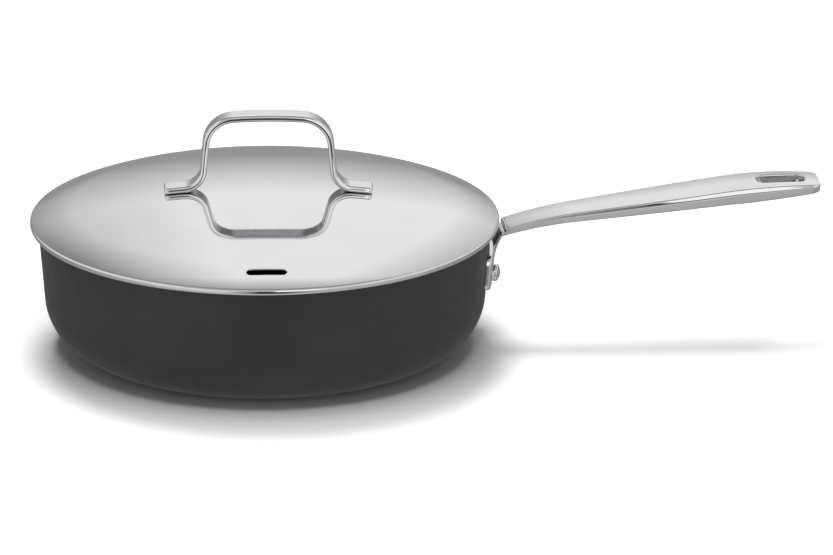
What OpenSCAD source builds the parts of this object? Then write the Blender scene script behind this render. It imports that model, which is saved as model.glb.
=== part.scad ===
// Deep frying pan with a riveted cast handle and a domed lid that lifts off.
// Lengths are in millimetres. The origin is the middle of the base's underside, +Z is up, and the
// handle lies along +X.

/* [Pan] */
// Inside diameter at the rim
pan_inner_d = 280; // [240:5:320]
// Height of the rim above the surface that the pan stands on
pan_h = 85.2; // [78:0.2:110]
// Thickness of the wall
wall_t = 3.4; // [2.6:0.1:4.4]
// Lean of the wall away from upright, in degrees
wall_lean = 4.4; // [1:0.2:8]
// Thickness of the floor
floor_t = 5; // [4:0.5:8]
// Outside radius of the bend between floor and wall
bend_r = 35; // [20:1:42]
// Thickness of the non-stick lining
lining_t = 0.4; // [0.3:0.1:0.8]

/* [Base plate] */
// Diameter of the steel plate under the floor
plate_d = 196; // [120:2:200]
// Thickness of the plate
plate_t = 2.8; // [1.5:0.1:3.4]
// How far the plate stands out below the floor
plate_proud = 0.8; // [0.4:0.1:1.2]
// Corner chamfer of the plate's lower edge
plate_chamfer = 0.4; // [0.1:0.1:0.6]

/* [Lid] */
// Thickness of the lid's sheet
sheet_t = 0.9; // [0.6:0.1:1.2]
// Radius of the crown, the flatter middle of the dome
crown_r = 640; // [500:2:900]
// Distance from the middle of the rim to the edge of the crown
shoulder_inset = 20.7; // [16:0.1:30]
// Radius of the shoulder round the crown
shoulder_r = 126; // [100:1:160]
// Radius of the rolled bead round the lid's edge
bead_r = 1.7; // [1.2:0.1:2]
// Height of the bead's straight side
bead_side_h = 0.9; // [0.1:0.1:2]
// Play between the pan's wall and the bead
bead_play = 1.4; // [0.6:0.1:3]
// How far the lid is turned from the pan's handle, in degrees
lid_turn = -4.6; // [-180:0.2:180]

/* [Steam vent] */
// Length of the slot
vent_l = 25; // [16:0.2:40]
// Width of the slot
vent_w = 6.2; // [5:0.2:8]
// Distance from the lid's axis to the middle of the slot
vent_reach = 130.4; // [120:0.2:134]

/* [Lid handle] */
// Width of the strap
strap_w = 15.4; // [10:0.2:20]
// Thickness of the strap
strap_t = 4.2; // [3:0.1:5]
// Radius of the strap's long edges
strap_edge_r = 1.8; // [0.4:0.1:2]
// Room for fingers between the top of the dome and the strap
strap_room = 44.6; // [34:0.2:55]
// Distance from the lid's axis to the middle of the top corner's bend
strap_corner_x = 24.5; // [15:0.5:34]
// Radius of the top corners, at the middle of the thickness
strap_corner_r = 16; // [8:0.5:20]
// Radius of the slight bow of the top bar
strap_bow_r = 420; // [250:10:1200]
// Outward lean of the legs, in degrees
leg_lean = 5.5; // [0:0.5:10]
// Radius of the bend into the feet, at the middle of the thickness
foot_bend_r = 13; // [8:0.5:14]
// Distance from the lid's axis to the end of each foot
foot_reach = 65.8; // [58:0.1:80]
// Length of the flat of each foot
foot_l = 10; // [8:0.5:14]
// Radius of the feet's corners, seen from above
foot_corner_r = 3; // [1:0.5:5]
// How far the strap sits to one side of the lid's axis
strap_shift = 2.4; // [0:0.2:4]

/* [Handle] */
// Distance from the pan's axis to the handle's far end
handle_reach = 353.4; // [300:0.2:400]
// Gap between the lid's edge and the handle's root
root_gap = 3.5; // [2:0.2:8]
// Depth of the handle's root below the rim
root_drop = 10.9; // [8:0.2:16]
// Upward slope of the handle at its root, in degrees
root_slope = 17; // [12:0.5:24]
// Radius of the curve that follows the root
neck_r = 275; // [150:5:350]
// Upward slope of the grip, in degrees
grip_slope = 7.1; // [4:0.1:12]
// Length of the curve over the far end
tail_l = 64.5; // [40:0.5:90]
// Radius of the curve over the far end
tail_r = 343; // [250:1:500]
// Width of the neck
neck_w = 25.2; // [20:0.2:32]
// Width of the grip
grip_w = 36; // [28:0.5:44]
// Distance from the far end to the widest place
wide_back = 50; // [40:1:90]
// Radius of the sides, seen from above, between the widest place and the end
side_r = 400; // [300:10:800]
// Radius of the far end's corners, seen from above
end_corner_r = 6; // [4:0.5:12]
// Thickness of the handle at its root
root_t = 5; // [4:0.2:7]
// Greatest thickness of the grip
grip_t = 11.2; // [8:0.2:14]
// Radius of the underside's rise from the thickest place to the end
belly_r = 235; // [180:5:500]
// Radius of the crown across the top
top_crown_r = 190; // [80:5:400]
// Radius of the edge between top and sides
top_edge_r = 1; // [0.4:0.1:1.2]

/* [Hanging slot] */
// Length of the slot
slot_l = 30; // [18:0.5:36]
// Width of the slot
slot_w = 16; // [8:0.2:16]
// Radius of the slot's corners
slot_corner_r = 5; // [2:0.1:6]
// Length of handle left beyond the slot
slot_end_gap = 9.5; // [6:0.5:20]

/* [Stem and flange] */
// Width of the stem
stem_w = 21; // [14:0.5:24]
// Thickness of the stem
stem_t = 2.8; // [2.4:0.1:5]
// Distance from the wall to the stem's outer face beside the rivets
stem_out = 3.8; // [3:0.1:5]
// Height at which the stem starts to lean out, measured up from the rivets
stem_straight = 0.2; // [0:0.1:4]
// Radius of the stem's outward curve, at the middle of its thickness
stem_curve_r = 37; // [20:1:44]
// Lean of the stem from upright below its knee, in degrees
stem_lean = 26.5; // [20:0.5:38]
// Radius of the knee, at the middle of the stem's thickness
knee_r = 3; // [2.5:0.1:6]
// Width of the flange along the wall
flange_w = 76; // [60:1:90]
// Height of the flange
flange_h = 22.4; // [17:0.1:26]
// Thickness of the flange
flange_t = 3.4; // [2:0.1:4]
// Corner radius of the flange
flange_corner_r = 3; // [2:0.5:8]

/* [Rivets] */
// Diameter of the shanks
shank_d = 6; // [4:0.1:8]
// Diameter of the heads
head_d = 10.8; // [9:0.2:14]
// Height of the heads outside the pan
head_h = 5; // [3:0.1:6]
// Height of the straight side of those heads
head_side_h = 3.2; // [0.5:0.1:3.6]
// Height of the heads inside the pan
inner_head_h = 1.8; // [1:0.1:3]
// Distance from each rivet to its end of the flange
rivet_inset = 8; // [6.5:0.5:12]
// Depth of the rivets below the rim
rivet_drop = 32.8; // [28:0.2:38]

/* [Clearances] */
// Gap between the lid and the rim
seat_gap = 0.3; // [0.2:0.05:0.5]
// Gap between pieces that are fixed to each other
fix_gap = 0.05; // [0.02:0.01:0.1]

/* [Hidden] */
$fn = 96;
overrun = 1;
overrun_a = 1;

// Wall and rim of the pan
rim_r = wall_t / 2;
rim_c_x = pan_inner_d / 2 + rim_r;
rim_c_z = pan_h - rim_r;
rim_outer_r = rim_c_x + rim_r;
floor_z = plate_proud + floor_t;

// Radius of the wall at height z, measured to a face that lies inset inside the outer face
function wall_x(z, inset = 0) =
    rim_c_x + (rim_r - inset + (z - rim_c_z) * sin(wall_lean)) / cos(wall_lean);

// Lid: the shoulder rests on the rounded rim, seat_gap away from it, and runs into the bead
crown_edge_a = asin((rim_c_x - shoulder_inset) / crown_r);
shoulder_c_x = (crown_r - shoulder_r) * sin(crown_edge_a);
seat_reach = shoulder_r - sheet_t - seat_gap - rim_r;
shoulder_c_z = rim_c_z - sqrt(pow(seat_reach, 2) - pow(rim_c_x - shoulder_c_x, 2));
crown_c_z = shoulder_c_z - (crown_r - shoulder_r) * cos(crown_edge_a);
bead_c_x = rim_outer_r + bead_play + bead_r;
bead_a = asin((bead_c_x - shoulder_c_x) / (shoulder_r - bead_r));
bead_c_z = shoulder_c_z + (shoulder_r - bead_r) * cos(bead_a);
lid_outer_r = bead_c_x + bead_r;

// Strap of the lid, in the plane of its legs
bow_z = crown_c_z + crown_r + strap_room + strap_t / 2;
bow_a = asin(strap_corner_x / strap_bow_r);
leg_a = 90 - leg_lean;
foot_a = asin((foot_reach - foot_l / 2) / crown_r);
bow_c = [0, bow_z - strap_bow_r];
corner_c = bow_c + (strap_bow_r - strap_corner_r) * across(bow_a);
leg_top = corner_c + strap_corner_r * across(leg_a);
foot_lift = crown_r + fix_gap + strap_t / 2;
bend_run = foot_bend_r * (across(leg_a) - across(foot_a));
leg_l = ((leg_top + bend_run - [0, crown_c_z]) * across(foot_a) - foot_lift) / sin(leg_a - foot_a);
leg_foot = leg_top + leg_l * along(leg_a);
foot_c = leg_foot + foot_bend_r * across(leg_a);
foot_start = foot_c - foot_bend_r * across(foot_a);
foot_end = foot_start + (foot_reach - foot_start.x) / cos(foot_a) * along(foot_a);
arc_steps = 8;

// Unit vectors along and square to a line that falls at angle a
function along(a) = [cos(a), -sin(a)];
function across(a) = [sin(a), cos(a)];

// Handle, seen from the side
root_x = lid_outer_r + root_gap;
root_z = pan_h - root_drop;
neck_l = neck_r * (sin(root_slope) - sin(grip_slope));
neck_rise = neck_r * (cos(grip_slope) - cos(root_slope));
tail_x = handle_reach - tail_l;
tail_z = root_z + neck_rise + (tail_x - root_x - neck_l) * tan(grip_slope);
belly_x = handle_reach - wide_back;
corner_x = handle_reach - end_corner_r;
grip_start = root_x - stem_t;
grip_steps = 28;
corner_steps = 6;
crown_steps = 5;
thicken_power = 0.8;
ridge_share = 0.31;
flank_share = 0.42;
heel_share = 0.25;

// Height of the handle's top edges at distance x from the pan's axis
function edge_z(x) =
    x < root_x + neck_l
        ? root_z + neck_rise - neck_r * cos(grip_slope)
            + sqrt(pow(neck_r, 2) - pow(neck_r * sin(grip_slope) + root_x + neck_l - x, 2))
    : x < tail_x ? root_z + neck_rise + (x - root_x - neck_l) * tan(grip_slope)
    : tail_z - tail_r * cos(grip_slope)
        + sqrt(pow(tail_r, 2) - pow(tail_r * sin(grip_slope) - (x - tail_x), 2));

// Half of the handle's width there, before the far corners are rounded
function side_y(x) =
    x < belly_x
        ? neck_w / 2 + (grip_w - neck_w) / 2 * (1 - cos(180 * max(x - root_x, 0) / (belly_x - root_x))) / 2
        : grip_w / 2 - side_r + sqrt(pow(side_r, 2) - pow(x - belly_x, 2));

function half_w(x) =
    side_y(x) - (x < corner_x ? 0 : end_corner_r - sqrt(max(pow(end_corner_r, 2) - pow(x - corner_x, 2), 0)));

// Thickness there, from the top edges down to the underside
function thick(x) =
    x < belly_x
        ? root_t + (grip_t - root_t) * pow(max(x - root_x, 0) / (belly_x - root_x), thicken_power)
        : grip_t - belly_r + sqrt(pow(belly_r, 2) - pow(x - belly_x, 2));

// Cross-section there: crowned top, rounded edges, upright upper sides, flanks that draw in below
function right_side(x) =
    let (w = half_w(x), t = thick(x), e = top_edge_r, heel = [w - flank_share * t, -t],
         ridge = [w, -ridge_share * t], heel_up = heel + heel_share * (ridge - heel),
         heel_in = heel - [heel_share * t, 0])
    concat(
        [for (i = [1:3]) [w - e + e * sin(30 * i), -e + e * cos(30 * i)]],
        [ridge, heel_up, (heel_up + 2 * heel + heel_in) / 4, heel_in]
    );

function handle_ring(x) =
    let (w = half_w(x) - top_edge_r, h = pow(w, 2) / 2 / top_crown_r, side = right_side(x),
         top = [for (i = [-crown_steps:crown_steps])
             [w * i / crown_steps, h * (1 - pow(i / crown_steps, 2))]],
         back = [for (i = [len(side) - 1:-1:0]) [-side[i].x, side[i].y]])
    [for (p = concat(top, side, back)) [x, p.x, edge_z(x) + p.y]];

// Stem, seen from the side: up the wall, out, round the knee and into the root
stem_low_z = pan_h - rivet_drop - flange_h / 2 + flange_corner_r;
stem_bend_z = pan_h - rivet_drop + stem_straight;
stem_low = [wall_x(stem_low_z) + fix_gap + stem_out - stem_t / 2, stem_low_z];
stem_bend = [wall_x(stem_bend_z) + fix_gap + stem_out - stem_t / 2, stem_bend_z];
stem_lean_c = stem_bend + stem_curve_r * [cos(wall_lean), -sin(wall_lean)];
knee_low = stem_lean_c - stem_curve_r * [cos(stem_lean), -sin(stem_lean)];
root_mid = [root_x, root_z - root_t + stem_t / 2];
knee_turn = 90 - root_slope - stem_lean;
root_dir = [cos(root_slope), sin(root_slope)];
lean_dir = [sin(stem_lean), cos(stem_lean)];
knee_tip = cross_point(knee_low, lean_dir, root_mid, root_dir);
knee_cut = knee_r * tan(knee_turn / 2);
knee_in = knee_tip - knee_cut * lean_dir;
knee_c = knee_in + knee_r * [cos(stem_lean), -sin(stem_lean)];
stem_in = root_mid + 2 * stem_t * root_dir;

// Point where the line from a along u meets the line from b along v
function cross_point(a, u, b, v) =
    a + u * ((b.x - a.x) * v.y - (b.y - a.y) * v.x) / (u.x * v.y - u.y * v.x);

// Points of a turn round centre c from angle a to angle b
function turn(c, r, a, b, steps = arc_steps) =
    [for (i = [0:steps]) let (t = a + (b - a) * i / steps) c + r * [cos(t), sin(t)]];

rivet_z = pan_h - rivet_drop;
rivet_x = wall_x(rivet_z);
rivet_a = asin((flange_w / 2 - rivet_inset) / rivet_x);
lining_in = wall_t + fix_gap + lining_t;

// A closed solid through a list of rings with equal numbers of points
module skin(rings) {
    n = len(rings[0]);
    last = (len(rings) - 1) * n;
    sides = [for (i = [0:len(rings) - 2], j = [0:n - 1]) let (a = i * n + j, b = i * n + (j + 1) % n)
        each [[a, b, b + n], [a, b + n, a + n]]];
    caps = [[for (j = [n - 1:-1:0]) j], [for (j = [0:n - 1]) last + j]];
    polyhedron([for (r = rings) each r], concat(sides, caps), convexity = 6);
}

// A rectangle with round corners, centred
module round_rect(size, r) {
    square([size.x - 2 * r, size.y], center = true);
    square([size.x, size.y - 2 * r], center = true);
    for (sx = [-1, 1], sy = [-1, 1])
        translate([sx * (size.x / 2 - r), sy * (size.y / 2 - r)])
            circle(r);
}

// Half section of the space inside the pan's outer face, set in by inset and closed at bottom
module bowl_area(inset, bottom, top) {
    r = bend_r - inset;
    c = [wall_x(bottom + r, inset) - r / cos(wall_lean), bottom + r];
    polygon([[0, bottom], [c.x, bottom], c + r * along(wall_lean), [wall_x(top, inset), top], [0, top]]);
    translate(c)
        circle(r);
}

// Places its children at a rivet: on the wall's outer face, with Z square to the wall
module at_rivet(side) {
    rotate(side * rivet_a)
        translate([rivet_x, 0, rivet_z])
            rotate([0, 90 + wall_lean, 0])
                children();
}

module rivet_holes() {
    for (side = [-1, 1])
        at_rivet(side)
            translate([0, 0, -lining_in - overrun])
                cylinder(d = shank_d + 2 * fix_gap, h = lining_in + flange_t + 3 * overrun);
}

module pan_body() {
    color("#3b3c3e")
    difference() {
        rotate_extrude()
            difference() {
                union() {
                    bowl_area(0, plate_proud, rim_c_z);
                    translate([rim_c_x, rim_c_z])
                        circle(rim_r);
                }
                bowl_area(wall_t, floor_z, rim_c_z + overrun);
            }
        translate([0, 0, -overrun])
            cylinder(d = plate_d + 2 * fix_gap, h = plate_t + fix_gap + overrun);
        rivet_holes();
    }
}

module nonstick_lining() {
    color("#2a2a2c")
    difference() {
        rotate_extrude()
            difference() {
                bowl_area(wall_t + fix_gap, floor_z + fix_gap, rim_c_z);
                bowl_area(lining_in, floor_z + fix_gap + lining_t, rim_c_z + overrun);
            }
        rivet_holes();
    }
}

module base_plate() {
    color("#b9babc")
    union() {
        cylinder(d1 = plate_d - 2 * plate_chamfer, d2 = plate_d, h = plate_chamfer);
        translate([0, 0, plate_chamfer])
            cylinder(d = plate_d, h = plate_t - plate_chamfer);
    }
}

module grip() {
    difference() {
        skin(concat(
            [for (i = [0:grip_steps]) handle_ring(grip_start + (corner_x - grip_start) * i / grip_steps)],
            [for (i = [1:corner_steps]) handle_ring(corner_x + end_corner_r * sin(90 * i / corner_steps))]
        ));
        cylinder(r = root_x, h = 2 * pan_h);
        translate([handle_reach - slot_end_gap - slot_l / 2, 0])
            linear_extrude(2 * pan_h)
                round_rect([slot_l, slot_w], slot_corner_r);
    }
}

module stem() {
    h = stem_t / 2;
    function face(o) = concat(
        [stem_low + o * [cos(wall_lean), -sin(wall_lean)]],
        turn(stem_lean_c, stem_curve_r - o, 180 - wall_lean, 180 - stem_lean),
        turn(knee_c, knee_r - o, 180 - stem_lean, 90 + root_slope),
        [stem_in + o * [sin(root_slope), -cos(root_slope)]]
    );
    inner = face(-h);
    rotate([90, 0, 0])
        linear_extrude(stem_w, center = true)
            polygon(concat(face(h), [for (i = [len(inner) - 1:-1:0]) inner[i]]));
}

module flange() {
    low = rivet_z - flange_h / 2 - overrun;
    high = rivet_z + flange_h / 2 + overrun;
    intersection() {
        rotate_extrude()
            polygon([
                [wall_x(low) + fix_gap, low],
                [wall_x(low) + fix_gap + flange_t, low],
                [wall_x(high) + fix_gap + flange_t, high],
                [wall_x(high) + fix_gap, high]
            ]);
        translate([0, 0, rivet_z])
            rotate([90, 0, 90])
                linear_extrude(lid_outer_r)
                    round_rect([flange_w, flange_h], flange_corner_r);
    }
}

module handle() {
    color("#c6c7c9")
    difference() {
        union() {
            grip();
            stem();
            flange();
        }
        rivet_holes();
    }
}

// A rivet: a shank through wall and flange, a low head inside and a high round head outside
module rivet(side) {
    head_r = head_d / 2;
    inside = -lining_in - fix_gap;
    outside = flange_t + 2 * fix_gap;
    dome_h = head_h - head_side_h;
    dome_r = (pow(head_r, 2) + pow(dome_h, 2)) / 2 / dome_h;
    low_r = (pow(head_r, 2) + pow(inner_head_h, 2)) / 2 / inner_head_h;
    color("#c9cacc")
    at_rivet(side)
        rotate_extrude() {
            translate([0, inside])
                square([shank_d / 2, outside - inside]);
            intersection() {
                translate([0, outside])
                    square([head_r, head_h]);
                translate([0, outside + head_h - dome_r])
                    circle(dome_r);
            }
            intersection() {
                translate([0, inside - inner_head_h])
                    square([head_r, inner_head_h]);
                translate([0, inside - inner_head_h + low_r])
                    circle(low_r);
            }
        }
}

module rivet_left() {
    rivet(1);
}

module rivet_right() {
    rivet(-1);
}

// Part of a disc, from straight up to angle a
module sector(r, a) {
    intersection() {
        circle(r);
        polygon([[0, 0], 2 * r * across(a), [0, 2 * r]]);
    }
}

// Half section of the space under the lid's outer face, set in by inset, out to angle edge_a
module dome_area(inset, edge_a) {
    translate([0, crown_c_z])
        sector(crown_r - inset, crown_edge_a);
    translate([shoulder_c_x, shoulder_c_z])
        sector(shoulder_r - inset, edge_a);
}

module lid_shell() {
    color("#d2d3d5")
    rotate(lid_turn)
        difference() {
            rotate_extrude($fn = 180) {
                difference() {
                    intersection() {
                        dome_area(0, bead_a);
                        translate([0, shoulder_c_z + overrun])
                            square([lid_outer_r, crown_r]);
                    }
                    dome_area(sheet_t, bead_a + overrun_a);
                }
                translate([bead_c_x, bead_c_z])
                    circle(bead_r);
                translate([bead_c_x, bead_c_z - bead_side_h])
                    circle(bead_r);
                translate([bead_c_x - bead_r, bead_c_z - bead_side_h])
                    square([2 * bead_r, bead_side_h]);
            }
            translate([0, -vent_reach, pan_h])
                linear_extrude(crown_r)
                    round_rect([vent_l, vent_w], vent_w / 2 - fix_gap);
        }
}

module lid_handle() {
    e = strap_edge_r;
    section = [for (c = [[1, 1], [-1, 1], [-1, -1], [1, -1]], i = [0:3])
        let (q = c.x * c.y > 0 ? i : 3 - i)
        [c.x * (strap_w / 2 - e + e * cos(30 * q)), c.y * (strap_t / 2 - e + e * sin(30 * q))]];
    function ring(p, a, cut = 0) =
        [for (s = section) let (o = p + s.y * across(a)) [o.x, s.x - sign(s.x) * cut, o.y]];
    function sweep(c, r, a, b, steps) =
        [for (i = [0:steps]) let (t = a + (b - a) * i / steps) ring(c + r * across(t), t)];
    half = concat(
        sweep(bow_c, strap_bow_r, 0, bow_a, 3),
        sweep(corner_c, strap_corner_r, bow_a + (leg_a - bow_a) / arc_steps, leg_a, arc_steps - 1),
        sweep(foot_c, -foot_bend_r, leg_a, foot_a, arc_steps),
        [for (t = [0:15:90])
            ring(foot_end - foot_corner_r * (1 - sin(t)) * along(foot_a), foot_a,
                 foot_corner_r * (1 - cos(t)))]
    );
    other = [for (i = [len(half) - 1:-1:1]) [for (p = half[i]) [-p.x, p.y, p.z]]];
    color("#cfd0d2")
    rotate(lid_turn)
        translate([0, 0, crown_c_z])
            rotate([0, asin(strap_shift / crown_r), 0])
                translate([0, 0, -crown_c_z])
                    skin(concat(other, half));
}

pan_body();
nonstick_lining();
base_plate();
handle();
rivet_left();
rivet_right();
lid_shell();
lid_handle();
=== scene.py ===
"""Looks of a deep frying pan with a domed lid: pieces, finishes, studio and camera.

Shapes are worked out in millimetres from the same values as the part's source, and built in metres
in the part's frame: +Z up, +X along the handle, origin in the middle of the base's underside.
"""

import math

import bmesh
import bpy
import numpy as np
from mathutils import Matrix, Vector


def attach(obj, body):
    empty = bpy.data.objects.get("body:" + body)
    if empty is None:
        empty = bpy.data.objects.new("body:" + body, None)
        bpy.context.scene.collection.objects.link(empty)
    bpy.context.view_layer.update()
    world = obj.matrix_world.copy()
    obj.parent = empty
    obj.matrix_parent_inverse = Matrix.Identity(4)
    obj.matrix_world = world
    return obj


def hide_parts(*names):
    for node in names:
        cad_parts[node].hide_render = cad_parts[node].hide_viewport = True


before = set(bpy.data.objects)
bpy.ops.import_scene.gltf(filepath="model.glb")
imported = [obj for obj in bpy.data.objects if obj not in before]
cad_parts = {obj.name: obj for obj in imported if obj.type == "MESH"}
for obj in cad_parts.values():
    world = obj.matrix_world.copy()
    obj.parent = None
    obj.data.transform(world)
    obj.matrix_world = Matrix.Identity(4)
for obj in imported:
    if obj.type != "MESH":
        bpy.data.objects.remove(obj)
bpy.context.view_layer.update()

MM = 0.001

# Pan
PAN_H = 85.2
INSIDE_R = 140.0                # at the rim
WALL_T = 3.4
LEAN = math.radians(4.4)        # of the wall, outwards
FLOOR_T = 5.0
BEND_R = 35.0                   # from wall to floor, outside
LINING_T = 0.4
FIX_GAP = 0.05                  # between pieces that are fixed to each other
RIM_R = WALL_T / 2
RIM_X = INSIDE_R + RIM_R
RIM_Z = PAN_H - RIM_R
RECESS_EDGE_R = 0.5             # round the recess that holds the base plate
ROUND_STEPS = 256               # of the bowl, all the way round

# Base plate
PLATE_R = 98.0
PLATE_T = 2.8
PLATE_PROUD = 0.8
PLATE_EDGE_R = 0.4
PLATE_BREAK = 0.1
PLATE_MARGIN = 3.0
GROOVE_RADII = (82, 64, 46, 28, 10)
GROOVE_TOP = 1.1                # half widths of a turned groove, at its mouth and at its ground
GROOVE_GROUND = 0.7
GROOVE_DEPTH = 0.14
FLOOR_Z = PLATE_PROUD + FLOOR_T

# Lid: a crown, a tighter shoulder and a bead round the edge
SHEET_T = 0.9
CROWN_R = 640.0
SHOULDER_INSET = 20.7
SHOULDER_R = 126.0
BEAD_R = 1.7
BEAD_SIDE_H = 0.9
BEAD_ROOM = 1.4                 # from the pan's rim
SEAT_GAP = 0.3
LID_TURN = math.radians(-4.6)
VENT_L = 25.0
VENT_W = 6.2
VENT_REACH = 130.4
VENT_LIP = 0.35
VENT_CUT = 8.0                  # depth of the plug that cuts it
VENT_CORNER_R = VENT_W / 2 - FIX_GAP
BEAD_X = RIM_X + RIM_R + BEAD_ROOM + BEAD_R
CROWN_EDGE_A = math.asin((RIM_X - SHOULDER_INSET) / CROWN_R)
SHOULDER_X = (CROWN_R - SHOULDER_R) * math.sin(CROWN_EDGE_A)
SEAT_REACH = SHOULDER_R - SHEET_T - SEAT_GAP - RIM_R
SHOULDER_Z = RIM_Z - math.sqrt(SEAT_REACH ** 2 - (RIM_X - SHOULDER_X) ** 2)
CROWN_Z = SHOULDER_Z - (CROWN_R - SHOULDER_R) * math.cos(CROWN_EDGE_A)
BEAD_A = math.asin((BEAD_X - SHOULDER_X) / (SHOULDER_R - BEAD_R))
BEAD_Z = SHOULDER_Z + (SHOULDER_R - BEAD_R) * math.cos(BEAD_A)
LID_OUTER_R = BEAD_X + BEAD_R

# Strap of the lid
STRAP_W = 15.4
STRAP_T = 4.2
STRAP_EDGE_R = 1.8
STRAP_ROOM = 44.6               # under the bar, over the dome
STRAP_CORNER_X = 22.2
STRAP_CORNER_R = 18.4
STRAP_BOW_R = 330.0
LEG_A = math.radians(90 - 5.5)
FOOT_BEND_R = 13.0
FOOT_REACH = 65.8
FOOT_L = 10.0
FOOT_CORNER_R = 3.0
FOOT_END_R = 1.2
FOOT_STEPS = (3.0, 2.6, 2.2, 1.8, 1.5, 1.2, 1.0, 0.8, 0.6, 0.45, 0.3, 0.18, 0.09, 0.03, 0.0)
STRAP_SHIFT = 2.4
INNER_FACE_SHARE = 0.35         # of the edge radius, that counts as the strap's inner face, which gets the painted shade

# Handle: an arched neck, a straight slope and a tail that arches down again
REACH = 353.4
ROOT_X = LID_OUTER_R + 3.5
ROOT_Z = PAN_H - 10.9
ROOT_SLOPE = math.radians(17)
NECK_R = 275.0
GRIP_SLOPE = math.radians(7.1)
TAIL_L = 64.5
TAIL_R = 343.0
NECK_W = 25.2
GRIP_W = 36.0
WIDE_BACK = 50.0                # from the far end to the widest place
SIDE_R = 400.0
END_CORNER_R = 6.0
END_CORNER_A = 78               # degrees of the end's corner that keep the full section
END_STEPS = (82, 85, 87.5, 89, 90)
END_EDGE_R = 0.9
ROOT_EDGE_R = 1.5
ROOT_STEPS = (0.0, 0.05, 0.15, 0.3, 0.5, 0.75, 1.0, 1.25, 1.5)
ROOT_END = 1.8                  # from the root's face to the first plain section
ROOT_T = 5.0
GRIP_T = 11.2
BELLY_R = 235.0
TOP_CROWN_R = 190.0
TOP_EDGE_R = 1.0
THICKEN_POWER = 0.8
RIDGE_SHARE = 0.31              # shares of the thickness
FLANK_SHARE = 0.42
HEEL_SHARE = 0.25
RIDGE_SOFT = 0.9                # how far the ridge's rounding reaches, at most
RIDGE_SOFT_SHARE = 0.45
RIDGE_SOFT_MIN = 0.05
NECK_L = NECK_R * (math.sin(ROOT_SLOPE) - math.sin(GRIP_SLOPE))
NECK_RISE = NECK_R * (math.cos(GRIP_SLOPE) - math.cos(ROOT_SLOPE))
TAIL_X = REACH - TAIL_L
TAIL_Z = ROOT_Z + NECK_RISE + (TAIL_X - ROOT_X - NECK_L) * math.tan(GRIP_SLOPE)
BELLY_X = REACH - WIDE_BACK
CORNER_X = REACH - END_CORNER_R
LEAN_START = 225.0              # where the upper side starts to lean back, and where it leans fully
LEAN_END = 305.0
LEAN_MIN = -0.12
LEAN_MAX = 0.55
LEAN_FADE = 4.0                 # over this length the lean fades towards the far end
LEAN_LEFT = 0.3                 # share of it that is left there
SLOT_L = 30.0
SLOT_W = 16.0
SLOT_CORNER_R = 5.0
SLOT_LIP = 1.2
SLOT_ROOM = 9.5                 # from the far end
SLOT_X = REACH - SLOT_ROOM - SLOT_L / 2

# Plugs that cut the vent and the slot
PLUG_OUT = 3.0                  # beyond the surface
LIP_FLARE = 1.04
LIP_ANGLES = (80, 64, 48, 32, 16, 0)

# Stem and flange
STEM_W = 21.0
STEM_T = 2.8
STEM_OUT = 3.8
STEM_STRAIGHT = 0.2
STEM_CURVE_R = 37.0
STEM_LEAN = math.radians(26.5)
STEM_EDGE_R = 1.1
STEM_END_R = 1.0
STEM_END_STEPS = (0.0, 0.1, 0.3, 0.6, 1.0)
KNEE_R = 3.0
FLANGE_W = 76.0
FLANGE_H = 22.4
FLANGE_T = 3.4
FLANGE_CORNER_R = 3.0
FLANGE_END_R = 5.0
FLANGE_EDGE_R = 1.4
FLANGE_STRIP = 10.9             # inset at which only a strip of a face is left to fill
FLANGE_BREAK = 0.3

# Rivets
SHANK_D = 6.0
HEAD_D = 10.8
HEAD_H = 5.0
HEAD_SIDE_H = 3.2
HEAD_SHOULDER_R = 0.8
HEAD_EDGE_R = 0.3
HEAD_EDGE_ROOM = 0.05
INNER_HEAD_H = 1.8
INNER_HEAD_SHARE = 0.97         # of the outer head's width
RIVET_INSET = 8.0
RIVET_Z = PAN_H - 32.8

# Camera: a long lens a little above and in front. The photograph's frame is 833 pixels wide.
VIEW_TURN = math.radians(5)     # of the handle, away from the photograph's X
VIEW_DISTANCE = 5.0
VIEW_ELEVATION = 18.75
VIEW_YAW = 1.16
VIEW_TILT = 0.47
FOCAL_PIXELS = 7870
IMAGE_W = 833
SENSOR_W = 36.0

# Studio. MIDDLE and SIDES give its brightness as sRGB greys by the angle in degrees up from the
# horizon behind the pan, over the top and down to the floor in front. ACROSS gives MIDDLE's share
# by how far a direction points sideways: a screen behind with soft edges on all four sides. A
# soft box in front and two bright ends lie over them.
GAIN = 1.13
AMBIENT = 0.5                   # share of the studio's light that falls on matt surfaces
MIDDLE = [(-90, 150), (-30, 140), (2, 145), (20, 230), (55, 230), (70, 112), (80, 112), (90, 152),
          (120, 154), (127, 128), (134, 215), (156, 215), (164, 90), (190, 58), (201, 60),
          (206, 108), (216, 128), (226, 178), (236, 200), (269, 165)]
SIDES = [(-90, 150), (-30, 135), (48, 135), (62, 112), (80, 112), (90, 150), (140, 170),
         (164, 205), (190, 215), (215, 170), (240, 160), (269, 150)]
ACROSS = [(-1, 0), (-0.33, 0), (-0.05, 1), (0.15, 1), (0.4, 0.35), (1, 0.1)]
BOX_UP = [(-90, 0), (142, 0), (150, 1), (186, 1), (193, 0), (269, 0)]
BOX_ACROSS = [(-1, 0), (0.05, 0), (0.11, 1), (0.4, 1), (0.6, 0), (1, 0)]
BOX_LEVEL = 1.1
ENDS_UP = [(-1, 0), (-0.02, 0), (0.14, 1), (1, 1)]
ENDS_ACROSS = [(-1, 1), (-0.62, 1), (-0.42, 0), (0.42, 0), (0.62, 1), (1, 1)]
ENDS_LEVEL = 0.74
FLOOR_R = 1.5                   # metres


# Meshes

def arc(cx, cz, r, a0, a1, n):
    """Points of a turn round (cx, cz). Angles are in degrees from straight up, towards +X."""
    return [(cx + r * math.sin(math.radians(a)), cz + r * math.cos(math.radians(a)))
            for a in np.linspace(a0, a1, n + 1)]


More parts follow.
